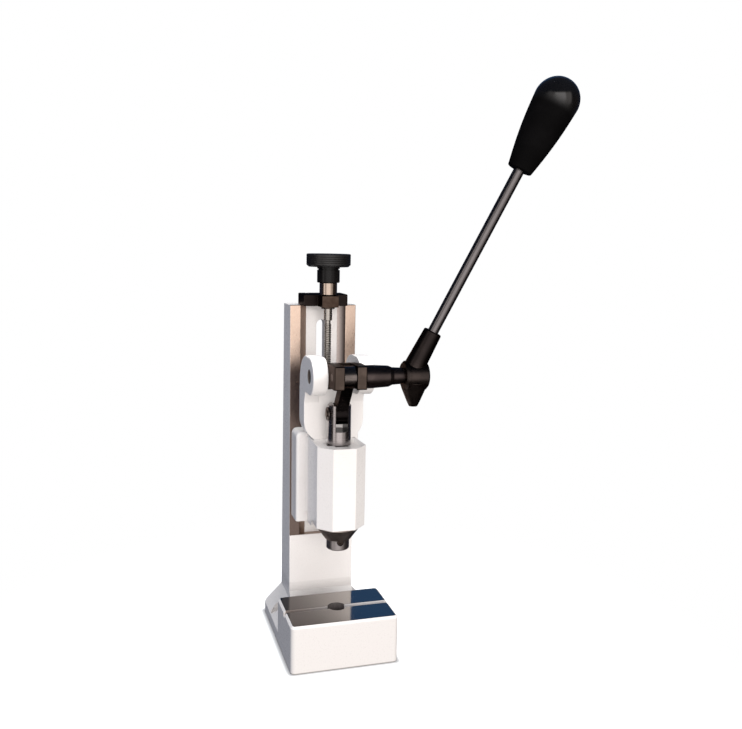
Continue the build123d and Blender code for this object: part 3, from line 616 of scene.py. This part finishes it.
def threaded(crest_r, depth, pitch):
    """The radius of a screw thread, whose ridge climbs one pitch a turn."""
    def radius(angle, height):
        turn = (height / pitch - angle / (2 * pi)) % 1.0
        return crest_r - depth * min(1.0, max(0.0, 1.35 - abs(4 * turn - 2) * 1.35))
    return radius


def smooth_piece(name, points, faces, material, crease):
    """An object that is shaded smooth but for the edges sharper than crease."""
    mesh = bpy.data.meshes.new(name)
    mesh.from_pydata(points, [], faces)
    mesh.materials.append(material)
    mesh.shade_smooth()
    mesh.set_sharp_from_angle(angle=crease)
    piece = bpy.data.objects.new(name, mesh)
    bpy.context.scene.collection.objects.link(piece)
    return piece


def turned(name, rows, segments, origin, axis, material):
    """A closed piece from rows of (height along the axis, radius function)."""
    turn = Vector(UPRIGHT).rotation_difference(Vector(axis)).to_matrix()
    place = Vector(origin)
    points = []
    for height, radius in rows:
        for step in range(segments):
            angle = 2 * pi * step / segments
            reach = radius(angle, height)
            points.append(place + turn @ Vector((reach * cos(angle), reach * sin(angle), height)))
    faces = []
    for row in range(len(rows) - 1):
        for step in range(segments):
            after = (step + 1) % segments
            low, high = row * segments, (row + 1) * segments
            faces.append((low + step, low + after, high + after, high + step))
    faces.append(tuple(reversed(range(segments))))
    last = (len(rows) - 1) * segments
    faces.append(tuple(range(last, last + segments)))
    return smooth_piece(name, points, faces, material, radians(28))


def stand_in(pieces, node, body):
    """Rides pieces on a body and lets them stand for a CAD node."""
    for piece in pieces:
        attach(piece, body)
        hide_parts(node)


# ---- spindle with its real thread ----------------------------------------------------------
SPINDLE_Y = 44.0 * MM
THREAD_PITCH = 2.0 * MM
THREAD_DEPTH = 0.62 * MM
THREAD_UNDERSIZE = 0.7 * MM     # how far the ridges lie inside the plain shank
THREAD_END = 290.0 * MM
THREAD_RUNOUT = 3.0 * MM        # the plain neck between the thread and the shank


def make_spindle():
    low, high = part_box("height_spindle")
    shank_r = (high.x - low.x) / 2
    shank_edge = 0.3 * MM
    shank_start = THREAD_END + THREAD_RUNOUT
    crest_r = shank_r - THREAD_UNDERSIZE
    core = plain(crest_r - THREAD_DEPTH)
    ridge = threaded(crest_r, THREAD_DEPTH, THREAD_PITCH)
    step = THREAD_PITCH / 8
    rows = [(low.z, plain(crest_r - 2 * THREAD_DEPTH)), (low.z + THREAD_DEPTH, core)]
    count = int((THREAD_END - low.z - 2 * THREAD_DEPTH) / step)
    rows += [(low.z + 2 * THREAD_DEPTH + step * row, ridge) for row in range(count)]
    rows += [
        (THREAD_END, core),
        (shank_start, core),
        (shank_start, plain(shank_r - shank_edge)),
        (shank_start + shank_edge, plain(shank_r)),
        (high.z, plain(shank_r)),
    ]
    return turned("spindle_thread", rows, 32, (0, SPINDLE_Y, 0), UPRIGHT, thread_steel)


# ---- knob with a grooved rim ---------------------------------------------------------------
def make_knob():
    low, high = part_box("spindle_knob")
    rim_r = (high.x - low.x) / 2
    neck_r = 10.0 * MM
    bore_r = 3.7 * MM
    bore_top = 345.0 * MM
    neck_top = 340.2 * MM
    waist_low, waist_high = 337.4 * MM, 338.6 * MM
    edge = 0.9 * MM
    neck_edge = 0.5 * MM
    dish = 0.6 * MM             # the top is this much hollow inside its border
    border = 6.0 * MM
    rim_low = neck_top + 2 * edge
    rows = [
        (bore_top, plain(POINT_R)),
        (bore_top, plain(bore_r)),
        (low.z, plain(bore_r)),
        (low.z, plain(neck_r - neck_edge)),
        (low.z + neck_edge, plain(neck_r)),
        (waist_low, plain(neck_r)),
        (waist_low, plain(neck_r - MM)),
        (waist_high, plain(neck_r - MM)),
        (waist_high, plain(neck_r)),
        (neck_top, plain(neck_r)),
        (neck_top, plain(rim_r - 2.2 * edge)),
        (rim_low - 0.3 * edge, plain(rim_r - 0.3 * edge)),
        (rim_low, plain(rim_r)),
    ]
    grooves, groove_half, groove_depth = 4, 0.25 * MM, 0.22 * MM
    spacing = (high.z - edge - rim_low) / (grooves + 1)
    for groove in range(1, grooves + 1):
        middle = rim_low + spacing * groove
        for offset, depth in ((-groove_half, 0.0), (0.0, groove_depth), (groove_half, 0.0)):
            rows.append((middle + offset, plain(rim_r - depth)))
    rows += [
        (high.z - edge, plain(rim_r)),
        (high.z - 0.3 * edge, plain(rim_r - 0.3 * edge)),
        (high.z, plain(rim_r - edge)),
        (high.z, plain(rim_r - border)),
        (high.z - dish, plain(rim_r - border - MM)),
        (high.z - dish, plain(POINT_R)),
    ]
    return turned("knob_body", rows, 128, (0, SPINDLE_Y, 0), UPRIGHT, knob_black)


# ---- grip ----------------------------------------------------------------------------------
GRIP_START = 188.0 * MM
GRIP_LENGTH = 79.0 * MM
GRIP_LOW_R = 10.4 * MM
GRIP_FLANK_R = 15.7 * MM
GRIP_R = 18.4 * MM
GRIP_EDGE = 1.2 * MM
ROD_R = 4.5 * MM
ROD_END = 30.0 * MM         # the rod's end, from the grip's lower face


def make_grip():
    dome_base = GRIP_LENGTH - GRIP_R
    rows = [
        (ROD_END, plain(POINT_R)),
        (ROD_END, plain(ROD_R)),
        (0.0, plain(ROD_R)),
        (0.0, plain(GRIP_LOW_R - GRIP_EDGE)),
    ]
    edge_steps = 6
    for step in range(1, edge_steps):
        turn = pi / 2 * step / edge_steps
        radius = GRIP_LOW_R - GRIP_EDGE * (1 - sin(turn))
        rows.append((GRIP_EDGE * (1 - cos(turn)), plain(radius)))
    middle_swell = GRIP_FLANK_R - (GRIP_LOW_R + GRIP_R) / 2
    flank_steps = 24
    for step in range(flank_steps):
        share = step / flank_steps
        straight = GRIP_LOW_R + (GRIP_R - GRIP_LOW_R) * share
        swell = middle_swell * sin(pi * share)
        rows.append((GRIP_EDGE + (dome_base - GRIP_EDGE) * share, plain(straight + swell)))
    dome_steps = 24
    for step in range(dome_steps):
        turn = pi / 2 * step / dome_steps
        rows.append((dome_base + GRIP_R * sin(turn), plain(GRIP_R * cos(turn))))
    rows.append((GRIP_LENGTH, plain(POINT_R)))
    origin = LEVER_FOOT + LEVER_AXIS * GRIP_START
    return turned("grip_body", rows, 96, origin, LEVER_AXIS, grip_black)


# ---- screws with hexagon sockets -----------------------------------------------------------
SOCKET_MOUTH = 0.60         # the socket's countersink, as a share of the key's width


def cap_screw(name, seat, axis, shank_r, length, head_r, head_height, flats):
    """A screw with a knurled head that stands on its seat. flats is its key's width."""
    knurl = ribbed(head_r, 36, 0.18 * MM)
    socket = hexagon(flats / 2)
    socket_floor = head_height * 0.45
    rim = 0.5 * MM
    edge = 0.3 * MM
    band_r = head_r - 0.15 * MM     # the smooth band over the knurl
    rows = [
        (-length, plain(shank_r - rim)),
        (rim - length, plain(shank_r)),
        (0.0, plain(shank_r)),
        (0.0, plain(head_r - edge)),
        (edge, knurl),
        (head_height - 2 * rim, knurl),
        (head_height - 2 * rim, plain(band_r)),
        (head_height - rim, plain(band_r)),
        (head_height, plain(head_r - rim)),
        (head_height, plain(flats * SOCKET_MOUTH)),
        (head_height - edge, socket),
        (socket_floor, socket),
        (socket_floor - 2 * edge, plain(POINT_R)),
    ]
    return turned(name, rows, 144, seat, axis, oxide_upright)


def grub_screw(name, place, axis, radius, length, flats):
    """A headless screw, threaded from end to end, whose outer face is at place."""
    depth, pitch = 0.3 * MM, 0.8 * MM
    ridge = threaded(radius, depth, pitch)
    step = pitch / 8
    socket = hexagon(flats / 2)
    socket_floor = -length * 0.4
    thread_start = -length * 0.9
    lead = 0.4 * MM             # kept free of the thread at the outer face
    rows = [(-length, plain(radius * 0.6)), (thread_start, plain(radius - depth))]
    count = int((-thread_start - lead) / step)
    rows += [(thread_start + step * row, ridge) for row in range(1, count)]
    rows += [
        (-depth, plain(radius - depth)),
        (0.0, plain(radius - 2 * depth)),
        (0.0, plain(flats * SOCKET_MOUTH)),
        (-lead / 2, socket),
        (socket_floor, socket),
        (socket_floor - lead, plain(POINT_R)),
    ]
    return turned(name, rows, 36, place, axis, oxide_upright)


BRACKET_SCREW_X, BRACKET_SCREW_Y = 12.5 * MM, 72.0 * MM
BRACKET_SEAT = 309.6 * MM
GRUB_KEY = 2.5 * MM


def make_bracket_screws():
    """Two M5 screws."""
    return [
        cap_screw(f"bracket_screw_{side}", (x, BRACKET_SCREW_Y, BRACKET_SEAT), UPRIGHT,
                  shank_r=2.5 * MM, length=18 * MM, head_r=4.25 * MM, head_height=5 * MM,
                  flats=4 * MM)
        for side, x in (("left", -BRACKET_SCREW_X), ("right", BRACKET_SCREW_X))
    ]


def make_clamp_screws():
    """Two M8 screws, one over the other, whose heads are the ends of their node's box."""
    low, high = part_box("clamp_screws")
    head_height = 8.0 * MM
    seat_y = high.y - head_height
    head_r = (high.x - low.x) / 2
    return [
        cap_screw(f"clamp_screw_{level}", (0, seat_y, z), (0, 1, 0),
                  shank_r=4 * MM, length=seat_y - low.y, head_r=head_r,
                  head_height=head_height, flats=6 * MM)
        for level, z in (("low", low.z + head_r), ("high", high.z - head_r))
    ]


def make_ram_screw():
    low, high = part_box("ram_set_screw")
    radius = (high.z - low.z) / 2
    place = (0, low.y, (low.z + high.z) / 2)
    return grub_screw("ram_grub_screw", place, (0, -1, 0), radius, high.y - low.y, GRUB_KEY)


def make_hub_screw():
    low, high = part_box("hub_set_screw")
    radius = (high.x - low.x) / 2
    place = ((low.x + high.x) / 2, (low.y + high.y) / 2, low.z)
    return grub_screw("hub_grub_screw", place, (0, 0, -1), radius, high.z - low.z, GRUB_KEY)


# ---- return spring, with closed ends -------------------------------------------------------
SPRING_WIRE_R = 0.7 * MM
SPRING_TURNS = 5.5
SPRING_CLOSED = 0.75        # turns at each end that lie flat


def make_spring():
    low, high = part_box("return_spring")
    radius = (high.x - low.x) / 2 - SPRING_WIRE_R
    bottom, top = low.z + SPRING_WIRE_R, high.z - SPRING_WIRE_R
    turn_steps, wire_steps = 40, 12
    steps = int(SPRING_TURNS * turn_steps)
    rings = []
    for step in range(steps + 1):
        turn = step / turn_steps
        share = (turn - SPRING_CLOSED) / (SPRING_TURNS - 2 * SPRING_CLOSED)
        share = min(1.0, max(0.0, share))
        angle = 2 * pi * turn
        outward = Vector((cos(angle), sin(angle), 0))
        middle = outward * radius + Vector((0, 0, bottom + (top - bottom) * share))
        ring = []
        for point in range(wire_steps):
            around = 2 * pi * point / wire_steps
            reach = outward * cos(around) + Vector(UPRIGHT) * sin(around)
            ring.append(middle + reach * SPRING_WIRE_R)
        rings.append(ring)
    points = [point for ring in rings for point in ring]
    faces = []
    for step in range(steps):
        for point in range(wire_steps):
            after = (point + 1) % wire_steps
            first, second = step * wire_steps, (step + 1) * wire_steps
            faces.append((first + point, second + point, second + after, first + after))
    faces.append(tuple(range(wire_steps)))
    faces.append(tuple(steps * wire_steps + point for point in reversed(range(wire_steps))))
    return smooth_piece("spring_coil", points, faces, spring_wire, radians(60))


spring_coil = make_spring()
stand_in([spring_coil], "return_spring", "head")
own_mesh(spring_coil)

stand_in([make_spindle()], "height_spindle", "spindle")
stand_in([make_knob()], "spindle_knob", "spindle")
stand_in([make_grip()], "lever_grip", "lever")
stand_in(make_bracket_screws(), "bracket_screws", "frame")
stand_in(make_clamp_screws(), "clamp_screws", "head")
stand_in([make_ram_screw()], "ram_set_screw", "ram")
stand_in([make_hub_screw()], "hub_set_screw", "lever")


# ---- floor, light and camera ---------------------------------------------------------------
FLOOR_HALF = 1.2
FLOOR_PALE = (0.84, 0.84, 0.84)
FLOOR_DEEP = (0.80, 0.80, 0.80)
FLOOR_GLOW = 0.30
FLOOR_FADE = (0.13, 0.36)   # distances over which the floor fades into the background
CONTACT_TONE = (0.16, 0.16, 0.165)
CONTACT_REACH = 5.0 * MM    # how far the contact shadow round the base reaches
CONTACT_DEPTH = 0.6         # how far the floor turns to that tone at the base
CONTACT_DIMMING = 0.8       # and how much of its glow it loses


def plain_floor():
    """A pale floor that fades into the white background away from the object."""
    mesh = bpy.data.meshes.new("floor")
    half = FLOOR_HALF
    corners = [(-half, -half, 0), (half, -half, 0), (half, half, 0), (-half, half, 0)]
    mesh.from_pydata(corners, [], [(0, 1, 2, 3)])
    floor = bpy.data.objects.new("floor", mesh)
    bpy.context.scene.collection.objects.link(floor)
    surface = Surface("floor_paper", roughness=0.9)
    paper = surface.mix(surface.noise(3.0) * 0.2, FLOOR_PALE, FLOOR_DEEP)
    x, y, z = surface.axes()
    low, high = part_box("frame_casting")
    inset = CONTACT_REACH / 2   # the shadow's corners are round, from this far inside the base
    beside = (abs(x - (low.x + high.x) / 2) - (high.x - low.x) / 2 + inset).either(0.0)
    before = (abs(y - (low.y + high.y) / 2) - (high.y - low.y) / 2 + inset).either(0.0)
    near = round_distance(beside, before).ramp(CONTACT_REACH + inset, inset)
    surface.set("Emission Color", (1.0, 1.0, 1.0, 1.0))
    surface.set("Base Color", surface.mix(near * CONTACT_DEPTH, paper, CONTACT_TONE))
    surface.set("Emission Strength", (near * -CONTACT_DIMMING + 1.0) * FLOOR_GLOW)
    surface.set("Alpha", round_distance(x, y).ramp(FLOOR_FADE[1], FLOOR_FADE[0]))
    mesh.materials.append(surface.material)
    floor.visible_diffuse = False
    floor.visible_glossy = False


# What the object's glossy faces mirror.
ROOM_LOW = (0.030, 0.024, 0.022)
ROOM_HIGH = (0.020, 0.028, 0.045)
ROOM_BACK = (0.024, 0.030, 0.052)
BLUE_WALL = (0.044, 0.108, 0.235)
WINDOW_DIM = (0.62, 0.58, 0.56)
WINDOW_BRIGHT = (1.40, 1.34, 1.32)
WINDOW_TURN = (radians(-75), radians(48))       # from the front towards the right
WINDOW_RISE = (radians(-26), radians(28))       # over the horizon
WIDE_PANE = (radians(-38), radians(16))
NARROW_PANE = (radians(-74), radians(-60))
BLUE_WALL_RISE = (radians(16), radians(55))
# What lights it, from each side.
LIGHT_LEFT = (0.02, 0.10, 0.25)
LIGHT_RIGHT = (0.27, 0.255, 0.235)
LIGHT_FRONT = (1.17, 1.125, 1.10)
LIGHT_ABOVE = (0.62, 0.63, 0.65)
LIGHT_BELOW = (0.55, 0.53, 0.52)


def studio_world():
    """White to the eye. The object reflects a window in front and a blue wall behind."""
    world = bpy.data.worlds.new("studio")
    bpy.context.scene.world = world
    world.use_nodes = True
    world.cycles.sampling_method = "NONE"
    tree = world.node_tree
    background = tree.nodes["Background"]
    room = Shading(tree, "Generated")
    x, y, z = room.axes()
    turn = x.math("ARCTAN2", y * -1.0)
    rise = z.math("ARCSINE")

    window = turn.between(*WINDOW_TURN, 0.12) * rise.between(*WINDOW_RISE, 0.10)
    panes = turn.between(*WIDE_PANE, 0.10) + turn.between(*NARROW_PANE, 0.05)
    blue = y.ramp(0.3, 0.8) * x.ramp(-0.15, 0.15) * rise.between(*BLUE_WALL_RISE, 0.10)
    mirrored = room.mix(z.ramp(-0.1, 0.6), ROOM_LOW, ROOM_HIGH)
    mirrored = room.mix(y.ramp(-0.2, 0.6), mirrored, ROOM_BACK)
    mirrored = room.mix(blue, mirrored, BLUE_WALL)
    mirrored = room.mix(window, mirrored, WINDOW_DIM)
    mirrored = room.mix(window * panes, mirrored, WINDOW_BRIGHT)

    ambient = room.mix(x.ramp(-0.35, 0.75), LIGHT_LEFT, LIGHT_RIGHT)
    ambient = room.mix(y.ramp(0.09, -0.85), ambient, LIGHT_FRONT)
    ambient = room.mix(z.ramp(0.15, 0.95), ambient, LIGHT_ABOVE)
    ambient = room.mix(z.ramp(-0.2, -0.9), ambient, LIGHT_BELOW)

    ray = tree.nodes.new("ShaderNodeLightPath")
    glossy = Field(tree, ray.outputs["Is Glossy Ray"])
    seen = Field(tree, ray.outputs["Is Camera Ray"])
    colour = room.mix(seen, room.mix(glossy, ambient, mirrored), (1.0, 1.0, 1.0))
    tree.links.new(colour.socket, background.inputs["Color"])
    background.inputs["Strength"].default_value = 1.0


def soft_light(name, place, aim, size, power, colour):
    """A round area light that the object doesn't mirror."""
    light = bpy.data.lights.new(name, "AREA")
    light.shape = "DISK"
    light.size = size
    light.energy = power
    light.color = colour
    lamp = bpy.data.objects.new(name, light)
    lamp.location = place
    lamp.rotation_mode = "QUATERNION"
    lamp.rotation_quaternion = (Vector(aim) - Vector(place)).to_track_quat("-Z", "Y")
    lamp.visible_glossy = False
    bpy.context.scene.collection.objects.link(lamp)


CAMERA_AT = Vector((-180.13, -673.38, 363.59)) * MM
CAMERA_YAW = radians(16.4)          # turned from +Y towards +X
CAMERA_DROP = radians(9.31)         # looking down
CAMERA_ROLL = radians(1.03)
CAMERA_LENS = 40.41                 # for a sensor 36 mm wide
CAMERA_SHIFT = (0.01434, 0.01678)


def place_camera():
    forward = Vector((
        sin(CAMERA_YAW) * cos(CAMERA_DROP),
        cos(CAMERA_YAW) * cos(CAMERA_DROP),
        -sin(CAMERA_DROP),
    ))
    level = Vector((cos(CAMERA_YAW), -sin(CAMERA_YAW), 0))
    upright = level.cross(forward)
    right = cos(CAMERA_ROLL) * level + sin(CAMERA_ROLL) * upright
    up = right.cross(forward)
    data = bpy.data.cameras.new("camera")
    data.sensor_width = 36.0
    data.lens = CAMERA_LENS
    data.shift_x, data.shift_y = CAMERA_SHIFT
    data.clip_start = 0.01
    camera = bpy.data.objects.new("camera", data)
    turn = Matrix((right, up, -forward)).transposed().to_4x4()
    camera.matrix_world = Matrix.Translation(CAMERA_AT) @ turn
    bpy.context.scene.collection.objects.link(camera)
    bpy.context.scene.camera = camera


plain_floor()
studio_world()
soft_light("key", (-0.16, -3.10, 0.86), aim=(0.02, 0, 0.20), size=1.5, power=46,
           colour=(1.0, 0.965, 0.943))
soft_light("top", (0.1, -0.1, 1.7), aim=(0, 0, 0.2), size=0.9, power=29,
           colour=(0.98, 0.99, 1.0))
place_camera()
bpy.context.scene.view_settings.view_transform = "Standard"
